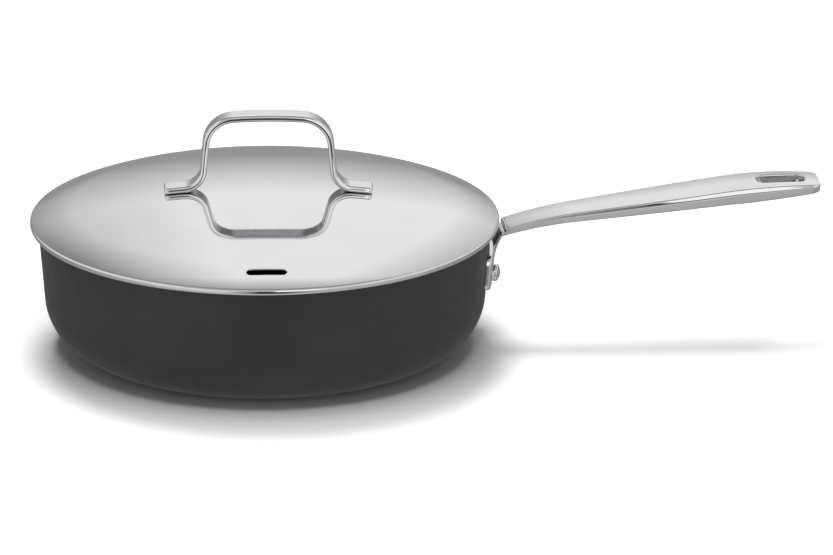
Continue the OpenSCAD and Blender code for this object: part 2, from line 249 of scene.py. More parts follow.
def line(p, q, n):
    """Points from p to q, both ends left out."""
    return [(p[0] + (q[0] - p[0]) * i / n, p[1] + (q[1] - p[1]) * i / n) for i in range(1, n)]


def rounding(r, d):
    """How far an edge rounded with radius r stands back at the distance d from the end."""
    return r - math.sqrt(r ** 2 - (r - d) ** 2) if d < r else 0.0


def round_rect(w, h, r, per_corner, per_side):
    """Points of a centred rectangle with round corners, counted alike on all corners and sides."""
    def on_corner(sx, sy, degrees):
        a = math.radians(degrees)
        return sx * (w / 2 - r) + r * math.cos(a), sy * (h / 2 - r) + r * math.sin(a)
    points = []
    corners = [(1, 1, 0), (-1, 1, 90), (-1, -1, 180), (1, -1, 270)]
    for k, (sx, sy, a) in enumerate(corners):
        turn = [on_corner(sx, sy, a + 90 * i / per_corner) for i in range(per_corner + 1)]
        points += turn + line(turn[-1], on_corner(*corners[(k + 1) % 4]), per_side)
    return points


def shade(obj, sharp):
    """Smooth shading, but edges sharper than sharp degrees stay crisp."""
    obj.data.shade_smooth()
    obj.data.set_sharp_from_angle(angle=math.radians(sharp))


def build(name, verts, faces, sharp=32.0, matrix=None):
    """A smooth-shaded object from points in millimetres, moved by matrix."""
    mesh = bpy.data.meshes.new(name)
    mesh.from_pydata([(x * MM, y * MM, z * MM) for x, y, z in verts], [], faces)
    if matrix is not None:
        mesh.transform(matrix)
    bm = bmesh.new()
    bm.from_mesh(mesh)
    bmesh.ops.remove_doubles(bm, verts=bm.verts, dist=1e-7)
    bmesh.ops.recalc_face_normals(bm, faces=bm.faces)
    bm.to_mesh(mesh)
    bm.free()
    obj = bpy.data.objects.new(name, mesh)
    bpy.context.scene.collection.objects.link(obj)
    shade(obj, sharp)
    return obj


def lathe(name, profile, steps, sharp=32.0, matrix=None):
    """A closed mesh turned round Z from (radius, height) points; a radius of 0 is a pole."""
    verts, rings = [], []
    angles = [2 * math.pi * i / steps for i in range(steps)]
    for r, z in profile:
        start = len(verts)
        if r < 1e-6:
            verts.append((0.0, 0.0, z))
            rings.append([start])
        else:
            verts += [(r * math.cos(a), r * math.sin(a), z) for a in angles]
            rings.append(list(range(start, start + steps)))
    faces = []
    closed = len(rings[0]) > 1 and len(rings[-1]) > 1
    for a, b in zip(rings, rings[1:] + ([rings[0]] if closed else [])):
        for i in range(steps):
            j = (i + 1) % steps
            if len(a) == 1 and len(b) == 1:
                continue
            if len(a) == 1:
                faces.append((a[0], b[i], b[j]))
            elif len(b) == 1:
                faces.append((a[i], a[j], b[0]))
            else:
                faces.append((a[i], a[j], b[j], b[i]))
    return build(name, verts, faces, sharp, matrix)


def band(rings):
    """Points of rings with equal numbers of points, and the faces between them."""
    n = len(rings[0])
    verts = [p for ring in rings for p in ring]
    faces = [(i * n + j, i * n + (j + 1) % n, (i + 1) * n + (j + 1) % n, (i + 1) * n + j)
             for i in range(len(rings) - 1) for j in range(n)]
    return verts, faces


def skin(name, rings, sharp=32.0, matrix=None):
    """A closed mesh through rings with equal numbers of points."""
    verts, faces = band(rings)
    n = len(rings[0])
    last = len(verts) - n
    faces.append(tuple(range(n - 1, -1, -1)))
    faces.append(tuple(last + j for j in range(n)))
    return build(name, verts, faces, sharp, matrix)


def combine(obj, other, operation, sharp):
    """obj with other cut out of it or joined to it; other is used up."""
    mod = obj.modifiers.new("combine", "BOOLEAN")
    mod.object = other
    mod.operation = operation
    mod.solver = "EXACT"
    bpy.context.view_layer.update()
    whole = obj.evaluated_get(bpy.context.evaluated_depsgraph_get())
    result = bpy.data.meshes.new_from_object(whole)
    obj.modifiers.clear()
    old = obj.data
    obj.data = result
    bpy.data.meshes.remove(old)
    bpy.data.objects.remove(other)
    shade(obj, sharp)
    return obj


def slot_cutter(name, outline_at, centre, surface, lip, depth=0.0, under=None):
    """A plug whose mouth follows a surface, so that what it cuts gets a rounded lip. It ends at
    depth, or goes through and gives the surface under it a lip too."""
    def ring(grow, height, face):
        return [(centre[0] + x, centre[1] + y, face(centre[0] + x, centre[1] + y) + height)
                for x, y in outline_at(grow)]
    turns = [(lip * (1 - math.cos(a)), lip * (1 - math.sin(a)))
             for a in [math.radians(t) for t in LIP_ANGLES]]
    rings = [ring(lip * LIP_FLARE, PLUG_OUT, surface)]
    rings += [ring(grow, -sink, surface) for grow, sink in turns]
    if under is None:
        rings.append(ring(0, -depth, surface))
    else:
        rings += [ring(grow, sink, under) for grow, sink in turns[::-1]]
        rings.append(ring(lip * LIP_FLARE, -PLUG_OUT, under))
    return skin(name, rings)


def finish_piece(obj, body, slot, material, *nodes):
    """Gives a piece its material and body, and hides the CAD nodes that it stands for. The slot is
    not used.
    """
    obj.data.materials.clear()
    obj.data.materials.append(material)
    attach(obj, body)
    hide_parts(*nodes)
    return obj


# Materials

def add(tree, kind, inputs, **settings):
    """A new shader node. Each input is set to a value, or linked if it is given a socket."""
    node = tree.nodes.new(kind)
    for name, value in settings.items():
        setattr(node, name, value)
    for name, value in inputs.items():
        if isinstance(value, bpy.types.NodeSocket):
            tree.links.new(value, node.inputs[name])
        else:
            node.inputs[name].default_value = value
    return node


def new_material(name, **constants):
    """A material, its node tree, its shader and the object's own coordinates."""
    mat = bpy.data.materials.new(name)
    mat.use_nodes = True
    shader = mat.node_tree.nodes["Principled BSDF"]
    for key, value in constants.items():
        shader.inputs[key.replace("_", " ")].default_value = value
    coord = add(mat.node_tree, "ShaderNodeTexCoord", {}).outputs["Object"]
    return mat, mat.node_tree, shader, coord


def noise(tree, coord, scale, detail=3.0, stretch=(1, 1, 1)):
    """Clouds about 1/scale metres wide, with finer ones for more detail."""
    mapping = add(tree, "ShaderNodeMapping", {"Vector": coord, "Scale": stretch})
    texture = add(tree, "ShaderNodeTexNoise",
                  {"Vector": mapping.outputs["Vector"], "Scale": scale, "Detail": detail})
    return texture.outputs["Fac"]


def rings_about_axis(tree, coord, scale, distortion):
    """Fine circles round Z, as a turning or brushing tool leaves them."""
    wave = add(tree, "ShaderNodeTexWave",
               {"Vector": coord, "Scale": scale, "Distortion": distortion,
                "Detail": 3.0, "Detail Scale": 2.0},
               wave_type="RINGS", rings_direction="Z")
    return wave.outputs["Fac"]


def roughen(tree, shader, value, low, high, start=0.3, end=0.7):
    """Roughness between low and high by a texture's value, whose range is start..end."""
    share = add(tree, "ShaderNodeMapRange",
                {"Value": value, "From Min": start, "From Max": end, "To Min": low, "To Max": high})
    tree.links.new(share.outputs["Result"], shader.inputs["Roughness"])


def tint(tree, shader, value, low, high, start=0.3, end=0.7):
    """Colour between low and high by a texture's value."""
    node = add(tree, "ShaderNodeValToRGB", {"Fac": value})
    for element, position, colour in zip(node.color_ramp.elements, (start, end), (low, high)):
        element.position = position
        element.color = (*colour, 1)
    tree.links.new(node.outputs["Color"], shader.inputs["Base Color"])


def bump(tree, shader, height, strength, distance, before=None):
    """Adds relief to the shader, on top of the relief before."""
    inputs = {"Height": height, "Strength": strength, "Distance": distance}
    if before is not None:
        inputs["Normal"] = before
    relief = add(tree, "ShaderNodeBump", inputs).outputs["Normal"]
    tree.links.new(relief, shader.inputs["Normal"])
    return relief


def polished(name, low, high, rough, grain, wobble=0.0):
    """Polished stainless steel: colour from low to high and roughness from rough[0] to rough[1] in
    soft patches, and a fine grain. Wobble is the height of the slow waves in a cast surface. Grain
    and wobble are in metres."""
    mat, tree, shader, coord = new_material(name, Metallic=1.0)
    tint(tree, shader, noise(tree, coord, scale=34.0, detail=4.0), low, high)
    smears = noise(tree, coord, scale=90.0, detail=5.0, stretch=(1.0, 2.2, 1.0))
    roughen(tree, shader, smears, *rough)
    before = None
    if wobble:
        before = bump(tree, shader, noise(tree, coord, scale=22.0, detail=1.0),
                      strength=1.0, distance=wobble)
    bump(tree, shader, noise(tree, coord, scale=2600.0, detail=2.0),
         strength=0.5, distance=grain, before=before)
    return mat


def anodised():
    """Dark hard-anodised aluminium: cloudy satin with a fine grain and faint turning marks."""
    mat, tree, shader, coord = new_material("anodised_aluminium")
    tint(tree, shader, noise(tree, coord, scale=26.0, detail=5.0),
         low=(0.021, 0.021, 0.0215), high=(0.026, 0.026, 0.0265))
    roughen(tree, shader, noise(tree, coord, scale=70.0, detail=4.0), low=0.4, high=0.48)
    grain = bump(tree, shader, noise(tree, coord, scale=2400.0, detail=4.0),
                 strength=0.4, distance=0.00003)
    bump(tree, shader, rings_about_axis(tree, coord, scale=420.0, distortion=2.0),
         strength=0.12, distance=0.00002, before=grain)
    return mat


def nonstick():
    """Near-black coating with fine flecks, slightly pebbled, under a half-gloss top coat."""
    mat, tree, shader, coord = new_material("nonstick_coating", Coat_Weight=0.25,
                                            Coat_Roughness=0.3)
    tint(tree, shader, noise(tree, coord, scale=1300.0, detail=2.0),
         low=(0.014, 0.014, 0.0145), high=(0.034, 0.034, 0.035), start=0.45, end=0.72)
    roughen(tree, shader, noise(tree, coord, scale=60.0, detail=4.0), low=0.3, high=0.4)
    pebbles = bump(tree, shader, noise(tree, coord, scale=900.0), strength=0.35, distance=0.00004)
    bump(tree, shader, rings_about_axis(tree, coord, scale=300.0, distortion=1.0),
         strength=0.2, distance=0.00003, before=pebbles)
    return mat


def brushed_in_circles():
    """Steel brushed in circles round Z."""
    mat, tree, shader, coord = new_material("brushed_base_steel", Metallic=1.0, Anisotropic=0.7)
    tangent = add(tree, "ShaderNodeTangent", {}, direction_type="RADIAL", axis="Z")
    tree.links.new(tangent.outputs["Tangent"], shader.inputs["Tangent"])
    turned = rings_about_axis(tree, coord, scale=520.0, distortion=3.0)
    tint(tree, shader, turned, low=(0.5, 0.5, 0.505), high=(0.66, 0.66, 0.665), start=0.1, end=0.9)
    roughen(tree, shader, turned, low=0.26, high=0.38, start=0.0, end=1.0)
    bump(tree, shader, turned, strength=0.5, distance=0.00003)
    return mat


# Pan

def wall_x(z, inset=0.0):
    """Radius of the wall at height z, measured to a face set inset inside the outer face."""
    return RIM_X + (RIM_R - inset + (z - RIM_Z) * math.sin(LEAN)) / math.cos(LEAN)


def bowl_side(inset, bottom, top, wall_steps=16, bend_steps=30):
    """The pan's face set in by inset, from the floor's edge over the bend and up the wall."""
    r = BEND_R - inset
    cz = bottom + r
    cx = wall_x(cz, inset) - r / math.cos(LEAN)
    bend = arc(cx, cz, r, 180, 90 + math.degrees(LEAN), bend_steps)
    end = (wall_x(top, inset), top)
    return bend + line(bend[-1], end, wall_steps) + [end]


def pan_vessel(material):
    """The deep bowl with its round rim and the recess for the base plate."""
    lean = math.degrees(LEAN)
    outer = bowl_side(0, PLATE_PROUD, RIM_Z - RIM_R * math.sin(LEAN))[:-1]
    rim = arc(RIM_X, RIM_Z, RIM_R, 90 + lean, -90 + lean, 20)
    inner = bowl_side(WALL_T, FLOOR_Z, RIM_Z + RIM_R * math.sin(LEAN))[:-1][::-1]
    recess = PLATE_R + FIX_GAP
    under = [(recess * k, PLATE_T + FIX_GAP) for k in (0, 0.5, 1)]
    under += arc(recess + RECESS_EDGE_R, PLATE_PROUD + RECESS_EDGE_R, RECESS_EDGE_R, 270, 180, 6)
    floor_points = [(inner[-1][0] * k, FLOOR_Z) for k in (0.9, 0.6, 0.3, 0.0)]
    obj = lathe("pan_vessel", under + outer + rim + inner + floor_points, ROUND_STEPS, 40)
    return finish_piece(obj, "pan", "anodised_aluminium", material, "pan_body")


def pan_coating(material):
    """The lining that shows when the lid is off: a thin bowl with a rounded upper lip."""
    top = RIM_Z - LINING_T / 2
    inset = WALL_T + FIX_GAP
    outer = bowl_side(inset, FLOOR_Z + FIX_GAP, top, 8, 16)
    inner = bowl_side(inset + LINING_T, FLOOR_Z + FIX_GAP + LINING_T, top, 30, 40)[::-1]
    out_x, in_x = outer[-1][0], inner[0][0]
    lip = arc((out_x + in_x) / 2, top, (out_x - in_x) / 2, 80, -80, 6)
    floor_x, floor_z = inner[-1]
    floor_points = [(floor_x * k, floor_z) for k in (0.92, 0.75, 0.5, 0.25, 0.0)]
    under = [(0, outer[0][1]), (outer[0][0] * 0.6, outer[0][1])]
    obj = lathe("pan_coating", under + outer + lip + inner + floor_points, ROUND_STEPS, 60)
    return finish_piece(obj, "pan", "nonstick_coating", material, "nonstick_lining")


def base_disc(material):
    """The steel plate under the pan, with a rounded edge and shallow turned grooves."""
    top = [(0, PLATE_T), (PLATE_R * 0.5, PLATE_T)]
    top += [(PLATE_R - PLATE_BREAK, PLATE_T), (PLATE_R, PLATE_T - PLATE_BREAK)]
    side = arc(PLATE_R - PLATE_EDGE_R, PLATE_EDGE_R, PLATE_EDGE_R, 90, 180, 8)
    low = [(PLATE_R - PLATE_MARGIN, 0)]
    for r in GROOVE_RADII:
        low += [(r + GROOVE_TOP, 0), (r + GROOVE_GROUND, GROOVE_DEPTH),
                (r - GROOVE_GROUND, GROOVE_DEPTH), (r - GROOVE_TOP, 0)]
    obj = lathe("base_disc", top + side + low + [(0, 0)], 224, 25)
    return finish_piece(obj, "pan", "brushed_base_steel", material, "base_plate")


# Lid

def dome_z(r):
    """Height of the lid's outer face at radius r."""
    if r < CROWN_R * math.sin(CROWN_EDGE_A):
        return CROWN_Z + math.sqrt(CROWN_R ** 2 - r ** 2)
    return SHOULDER_Z + math.sqrt(SHOULDER_R ** 2 - (r - SHOULDER_X) ** 2)


def lid_dome(material):
    """The domed sheet, its curled edge as a solid bead, and the steam vent cut through it."""
    crown_a, bead_a = math.degrees(CROWN_EDGE_A), math.degrees(BEAD_A)
    outer = arc(0, CROWN_Z, CROWN_R, 0, crown_a, 72)
    outer += arc(SHOULDER_X, SHOULDER_Z, SHOULDER_R, crown_a, bead_a, 40)[1:]
    bead = arc(BEAD_X, BEAD_Z, BEAD_R, bead_a, 90, 12)[1:]
    bead += arc(BEAD_X, BEAD_Z - BEAD_SIDE_H, BEAD_R, 90, 270, 28)
    inner_r = SHOULDER_R - SHEET_T
    reach = SHOULDER_R - BEAD_R
    meet = math.acos((inner_r ** 2 - reach ** 2 - BEAD_R ** 2) / (2 * reach * BEAD_R))
    curl = arc(BEAD_X, BEAD_Z, BEAD_R, -90, bead_a - math.degrees(meet), 8)
    inner_end = math.degrees(math.asin((curl[-1][0] - SHOULDER_X) / inner_r))
    inner = arc(SHOULDER_X, SHOULDER_Z, inner_r, inner_end, crown_a, 30)[1:]
    inner += arc(0, CROWN_Z, CROWN_R - SHEET_T, crown_a, 0, 40)[1:]
    outer[0], inner[-1] = (0, outer[0][1]), (0, inner[-1][1])
    obj = lathe("lid_dome", outer + bead + curl + inner, 360, 40)

    def outline(grow):
        return round_rect(VENT_L + 2 * grow, VENT_W + 2 * grow, VENT_CORNER_R + grow, 14, 12)
    cutter = slot_cutter("vent_plug", outline, (0, -VENT_REACH),
                         lambda x, y: dome_z(math.hypot(x, y)), VENT_LIP, depth=VENT_CUT)
    combine(obj, cutter, "DIFFERENCE", 40)
    obj.data.transform(Matrix.Rotation(LID_TURN, 4, "Z"))
    return finish_piece(obj, "lid", "mirror_sheet_steel", material, "lid_shell")


def along(a):
    """The direction that falls by the angle a, in the strap's plane."""
    return np.array([math.cos(a), -math.sin(a)])


def across(a):
    """The direction square to along(a), away from the pan."""
    return np.array([math.sin(a), math.cos(a)])


def strap_section():
    """Points of the strap's section (across, up), with round edges and divided flat faces."""
    e = STRAP_EDGE_R
    points = []
    for cx, cy, start in ((1, 1, 0), (-1, 1, 90), (-1, -1, 180), (1, -1, 270)):
        for i in range(9):
            t = math.radians(start + 90 * i / 8)
            points.append((cx * (STRAP_W / 2 - e) + e * math.cos(t),
                           cy * (STRAP_T / 2 - e) + e * math.sin(t)))
        if cx == cy:
            x0, y0 = points[-1]
            points += [(x0 - cx * (STRAP_W - 2 * e) * k / 8, y0) for k in range(1, 8)]
    return points


def strap_half():
    """The strap's centre line from the middle of the bar to the end of a foot, as (point, angle,
    width taken off, thickness taken off)."""
    bow_z = CROWN_Z + CROWN_R + STRAP_ROOM + STRAP_T / 2
    bow_a = math.asin(STRAP_CORNER_X / STRAP_BOW_R)
    foot_a = math.asin((FOOT_REACH - FOOT_L / 2) / CROWN_R)
    bow_c = np.array([0, bow_z - STRAP_BOW_R])
    corner_c = bow_c + (STRAP_BOW_R - STRAP_CORNER_R) * across(bow_a)
    leg_top = corner_c + STRAP_CORNER_R * across(LEG_A)
    foot_lift = CROWN_R + FIX_GAP + STRAP_T / 2
    bend_run = FOOT_BEND_R * (across(LEG_A) - across(foot_a))
    drop = (leg_top + bend_run - np.array([0, CROWN_Z])) @ across(foot_a) - foot_lift
    leg_l = drop / math.sin(LEG_A - foot_a)
    leg_foot = leg_top + leg_l * along(LEG_A)
    foot_c = leg_foot + FOOT_BEND_R * across(LEG_A)
    foot_start = foot_c - FOOT_BEND_R * across(foot_a)
    foot_end = foot_start + (FOOT_REACH - foot_start[0]) / math.cos(foot_a) * along(foot_a)
    flat_l = np.linalg.norm(foot_end - foot_start) - FOOT_CORNER_R

    bar = [(bow_c + STRAP_BOW_R * across(t), t) for t in np.linspace(0, bow_a, 10)]
    corner = [(corner_c + STRAP_CORNER_R * across(t), t)
              for t in np.linspace(bow_a, LEG_A, 33)[1:]]
    leg = [(leg_top + k / 12 * leg_l * along(LEG_A), LEG_A) for k in range(1, 12)]
    bend = [(foot_c - FOOT_BEND_R * across(t), t) for t in np.linspace(LEG_A, foot_a, 29)]
    flat = [(foot_start + k / 5 * flat_l * along(foot_a), foot_a) for k in range(1, 5)]
    half = [(p, a, 0.0, 0.0) for p, a in bar + corner + leg + bend + flat]
    half += [(foot_end - d * along(foot_a), foot_a, rounding(FOOT_CORNER_R, d),
              rounding(FOOT_END_R, d)) for d in FOOT_STEPS]
    return half


def lid_strap(material, painted_shade_material):
    """The bent strap: bowed bar, round corners, leaning legs and feet that lie on the dome. Its
    inner faces get a darker, rougher copy of its steel: painted shade."""
    section = strap_section()

    def ring(p, a, cut_w, cut_t):
        points = []
        for sx, sy in section:
            o = p + (sy * (1 - 2 * cut_t / STRAP_T)) * across(a)
            points.append((o[0], sx * (1 - 2 * cut_w / STRAP_W), o[1]))
        return points

    half = [ring(*step) for step in strap_half()]
    other = [[(-x, y, z) for x, y, z in r] for r in half[:0:-1]]
    shift = Matrix.Rotation(math.asin(STRAP_SHIFT / CROWN_R), 4, "Y")
    place = (Matrix.Rotation(LID_TURN, 4, "Z") @ Matrix.Translation((0, 0, CROWN_Z * MM))
             @ shift @ Matrix.Translation((0, 0, -CROWN_Z * MM)))
    obj = skin("lid_strap", other + half, 50, place)
    finish_piece(obj, "lid", "mirror_strap_steel", material, "lid_handle")
    # the second material, on the inner faces, is a darker copy of the steel: painted shade
    obj.data.materials.append(painted_shade_material)
    n = len(section)
    inner_y = INNER_FACE_SHARE * STRAP_EDGE_R - STRAP_T / 2
    inner = [max(section[j][1], section[(j + 1) % n][1]) < inner_y for j in range(n)]
    for k in range((len(other) + len(half) - 1) * n):
        obj.data.polygons[k].material_index = int(inner[k % n])
    return obj


# Handle

def edge_z(x):
    """Height of the handle's top edges at distance x from the pan's axis."""
    if x < ROOT_X + NECK_L:
        run = NECK_R * math.sin(GRIP_SLOPE) + ROOT_X + NECK_L - x
        neck_cz = ROOT_Z + NECK_RISE - NECK_R * math.cos(GRIP_SLOPE)
        return neck_cz + math.sqrt(NECK_R ** 2 - run ** 2)
    if x < TAIL_X:
        return ROOT_Z + NECK_RISE + (x - ROOT_X - NECK_L) * math.tan(GRIP_SLOPE)
    run = TAIL_R * math.sin(GRIP_SLOPE) - (x - TAIL_X)
    return TAIL_Z - TAIL_R * math.cos(GRIP_SLOPE) + math.sqrt(TAIL_R ** 2 - run ** 2)


def half_w(x):
    """Half of the handle's width: it swells to the widest place and has round far corners."""
    if x < BELLY_X:
        share = max(x - ROOT_X, 0) / (BELLY_X - ROOT_X)
        side = NECK_W / 2 + (GRIP_W - NECK_W) / 2 * (1 - math.cos(math.pi * share)) / 2
    else:
        side = GRIP_W / 2 - SIDE_R + math.sqrt(SIDE_R ** 2 - (x - BELLY_X) ** 2)
    if x > CORNER_X:
        side -= END_CORNER_R - math.sqrt(max(END_CORNER_R ** 2 - (x - CORNER_X) ** 2, 0))
    return side


def thick(x):
    """The handle's thickness, from the top edges down to the underside."""
    if x < BELLY_X:
        share = max(x - ROOT_X, 0) / (BELLY_X - ROOT_X)
        return ROOT_T + (GRIP_T - ROOT_T) * share ** THICKEN_POWER
    return GRIP_T - BELLY_R + math.sqrt(BELLY_R ** 2 - (x - BELLY_X) ** 2)


def lean_back(x):
    """How far the upper side leans back from the ridge to the top edge."""
    k = min(max((x - LEAN_START) / (LEAN_END - LEAN_START), 0.0), 1.0)
    fade = min(1.0, (REACH - x) / LEAN_FADE + LEAN_LEFT)
    return (LEAN_MAX - LEAN_MIN) * k * k * (3 - 2 * k) * fade + LEAN_MIN


def top_half_w(x):
    """Half of the width of the crowned top, between its rounded edges."""
    return half_w(x) - TOP_EDGE_R - lean_back(x)


def crown_h(x, y):
    """Height of the crowned top over the top edges."""
    w = top_half_w(x)
    return w ** 2 / 2 / TOP_CROWN_R * (1 - min(abs(y) / w, 1.0) ** 2)


def bend_points(p, corner, q, n):
    """A smooth turn from p to q that leans towards corner."""
    p, corner, q = np.array(p), np.array(corner), np.array(q)
    return [tuple((1 - t) ** 2 * p + 2 * t * (1 - t) * corner + t ** 2 * q)
            for t in np.linspace(0, 1, n + 1)]


def grip_side(x):
    """Points from the rounded top edge down the upper side, round the ridge, down the flank and
    round the heel."""
    w, t, e = half_w(x), thick(x), TOP_EDGE_R
    back = lean_back(x)
    ridge = np.array([w, -RIDGE_SHARE * t])
    heel = np.array([w - FLANK_SHARE * t, -t])
    upper_a = math.degrees(math.atan(back / max(RIDGE_SHARE * t - e, 0.5)))
    points = [(w - back - e + e * math.sin(math.radians(a)), -e + e * math.cos(math.radians(a)))
              for a in np.linspace(0, 90 - upper_a, 11)[1:]]
    soft = min(RIDGE_SOFT, RIDGE_SOFT_SHARE * (RIDGE_SHARE * t - e) + RIDGE_SOFT_MIN)
    down = (heel - ridge) / np.linalg.norm(heel - ridge)
    above, below = ridge + np.array([0, soft]), ridge + soft * down
    points += line(points[-1], above, 3)
    points += bend_points(above, ridge, below, 6)
    heel_up = heel + HEEL_SHARE * (ridge - heel)
    heel_in = heel - np.array([HEEL_SHARE * t, 0])
    points += line(points[-1], heel_up, 4)
    points += bend_points(heel_up, heel, heel_in, 8)
    return points


def grip_ring(x, inset=0.0, x_at=None):
    """The handle's section at x, drawn in by inset. x_at gives each point's own x by its y."""
    side = grip_side(x)
    w = top_half_w(x)
    top = [(w * s, crown_h(x, w * s)) for s in np.linspace(-1, 1, 33)]
    low_w, low_z = side[-1]
    under = [(low_w * s, low_z) for s in np.linspace(1, -1, 9)[1:-1]]
    section = np.array(top + side + under + [(-p, q) for p, q in side[::-1]])
    if inset:
        lowest, highest = section[:, 1].min(), section[:, 1].max()
        mid = np.array([0, (highest + lowest) / 2])
        half = np.array([section[:, 0].max(), (highest - lowest) / 2])
        section = mid + (section - mid) * (1 - inset / half)
    return [(x_at(p) if x_at else x, p, edge_z(x) + q) for p, q in section]


def grip():
    """The grip with a hollow-cut root end that follows the lid, a rounded far end and the slot."""
    rings = []
    for d in ROOT_STEPS:
        rings.append(grip_ring(ROOT_X, rounding(ROOT_EDGE_R, d),
                               lambda y, d=d: math.sqrt(ROOT_X ** 2 - y * y) + d))
    rings += [grip_ring(x) for x in np.linspace(ROOT_X + ROOT_END, CORNER_X, 150)]

    def corner_at(degrees):
        return CORNER_X + END_CORNER_R * math.sin(math.radians(degrees))
    rings += [grip_ring(corner_at(a)) for a in np.linspace(0, END_CORNER_A, 27)[1:]]
    full = corner_at(END_CORNER_A)
    for a in END_STEPS:
        share = (corner_at(a) - full) / (REACH - full)
        inset = END_EDGE_R * (1 - math.sqrt(max(1 - share ** 2, 0)))
        rings.append(grip_ring(corner_at(a), inset))
    obj = skin("handle_casting", rings, 30)

    def outline(grow):
        return round_rect(SLOT_L + 2 * grow, SLOT_W + 2 * grow, SLOT_CORNER_R + grow, 12, 14)
    cutter = slot_cutter("slot_plug", outline, (SLOT_X, 0),
                         lambda x, y: edge_z(x) + crown_h(x, y), SLOT_LIP,
                         under=lambda x, y: edge_z(x) - thick(x))
    return combine(obj, cutter, "DIFFERENCE", 30)


def fall_line(a):
    """The direction (x, z) that falls by the angle a from +X, outward from what leans by a."""
    return np.array([math.cos(a), -math.sin(a)])


def stem_path():
    """Centre line of the stem as (point, outward normal) pairs, in the plane of the handle: up the
    wall, over a wide curve, up the lean and round the knee into the grip."""
    low_z = RIVET_Z - FLANGE_H / 2 + FLANGE_CORNER_R
    bend_z = RIVET_Z + STEM_STRAIGHT
    stand_off = FIX_GAP + STEM_OUT - STEM_T / 2
    low = np.array([wall_x(low_z) + stand_off, low_z])
    bend = np.array([wall_x(bend_z) + stand_off, bend_z])
    path = [(low + (bend - low) * k / 8, fall_line(LEAN)) for k in range(8)]
    centre = bend + STEM_CURVE_R * fall_line(LEAN)
    path += [(centre - STEM_CURVE_R * fall_line(a), fall_line(a))
             for a in np.linspace(LEAN, STEM_LEAN, 15)]
    start = path[-1][0]

    up = np.array([math.sin(STEM_LEAN), math.cos(STEM_LEAN)])
    root_mid = np.array([ROOT_X, ROOT_Z - ROOT_T + STEM_T / 2])
    root_dir = np.array([math.cos(ROOT_SLOPE), math.sin(ROOT_SLOPE)])
    gap = root_mid - start
    rise = ((gap[0] * root_dir[1] - gap[1] * root_dir[0])
            / (up[0] * root_dir[1] - up[1] * root_dir[0]))
    knee_a = math.pi / 2 - ROOT_SLOPE
    knee_in = start + (rise - KNEE_R * math.tan((knee_a - STEM_LEAN) / 2)) * up
    path += [(start + (knee_in - start) * j / 4, fall_line(STEM_LEAN)) for j in range(1, 4)]
    knee_c = knee_in + KNEE_R * fall_line(STEM_LEAN)
    path += [(knee_c - KNEE_R * fall_line(a), fall_line(a))
             for a in np.linspace(STEM_LEAN, knee_a, 15)]
    knee_out = path[-1][0]
    end = root_mid + 2 * STEM_T * root_dir
    path += [(knee_out + (end - knee_out) * j / 4, fall_line(knee_a)) for j in range(1, 5)]
    return path


def stem():
    """The flat stem between flange and grip, with a rounded lower end."""
    section = round_rect(STEM_W, STEM_T, STEM_EDGE_R, 8, 6)
    path = stem_path()

    def ring(p, normal, cut=0.0):
        points = []
        for y, out in section:
            x, z = p + out * (1 - 2 * cut / STEM_T) * normal
            points.append((x, y * (1 - 2 * cut / STEM_W), z))
        return points
    first, normal = path[0]
    up = (path[1][0] - first) / np.linalg.norm(path[1][0] - first)
    rings = [ring(first + d * up, normal, rounding(STEM_END_R, d)) for d in STEM_END_STEPS]
    rings += [ring(p, n) for p, n in path[1:]]
    return skin("stem", rings, 40)


def flange():
    """A plate bent to the wall, with round corners and rounded outer edges."""
    per_corner, per_side = 8, 40

    def ring(inset, off):
        r = max(FLANGE_END_R - inset, 0.05)
        points = round_rect(FLANGE_W - 2 * inset, FLANGE_H - 2 * inset, r, per_corner, per_side)
        return [(math.sqrt((wall_x(RIVET_Z + v) + FIX_GAP + off) ** 2 - u * u), u, RIVET_Z + v)
                for u, v in points]
    rings = [ring(inset, 0.0) for inset in (FLANGE_STRIP, 7, 3, FLANGE_BREAK)]
    rings += [ring(0.0, FLANGE_BREAK), ring(0.0, FLANGE_T - FLANGE_EDGE_R)]
    for a in (15, 30, 45, 60, 75, 90):
        t = math.radians(a)
        rings.append(ring(FLANGE_EDGE_R * (1 - math.cos(t)),
                          FLANGE_T - FLANGE_EDGE_R + FLANGE_EDGE_R * math.sin(t)))
    rings += [ring(inset, FLANGE_T) for inset in (2, 4, 6, 8, 10, FLANGE_STRIP)]
    verts, faces = band(rings)

    # Each face's last strip is filled with four-sided faces across it, and one face at each end.
    n = len(rings[0])
    corner = per_corner + 1
    row = corner + per_side - 1
    top = list(range(corner - 1, row + 1))
    low = [(2 * row + corner - 1 + len(top) - 1 - k) % n for k in range(len(top))]
    ends = (list(range(row, 2 * row + corner)), list(range(3 * row, 4 * row)) + list(range(corner)))
    for base in (0, len(verts) - n):
        for k in range(len(top) - 1):
            faces.append(tuple(base + j for j in (top[k], top[k + 1], low[k + 1], low[k])))
        for end in ends:
            faces.append(tuple(base + j for j in end))
    return build("flange", verts, faces, 40)


def handle_casting(material):
    """Grip, stem and flange as the one casting that they are."""
    obj = grip()
    combine(obj, stem(), "UNION", 30)
    combine(obj, flange(), "UNION", 30)
    return finish_piece(obj, "pan", "polished_cast_steel", material, "handle")


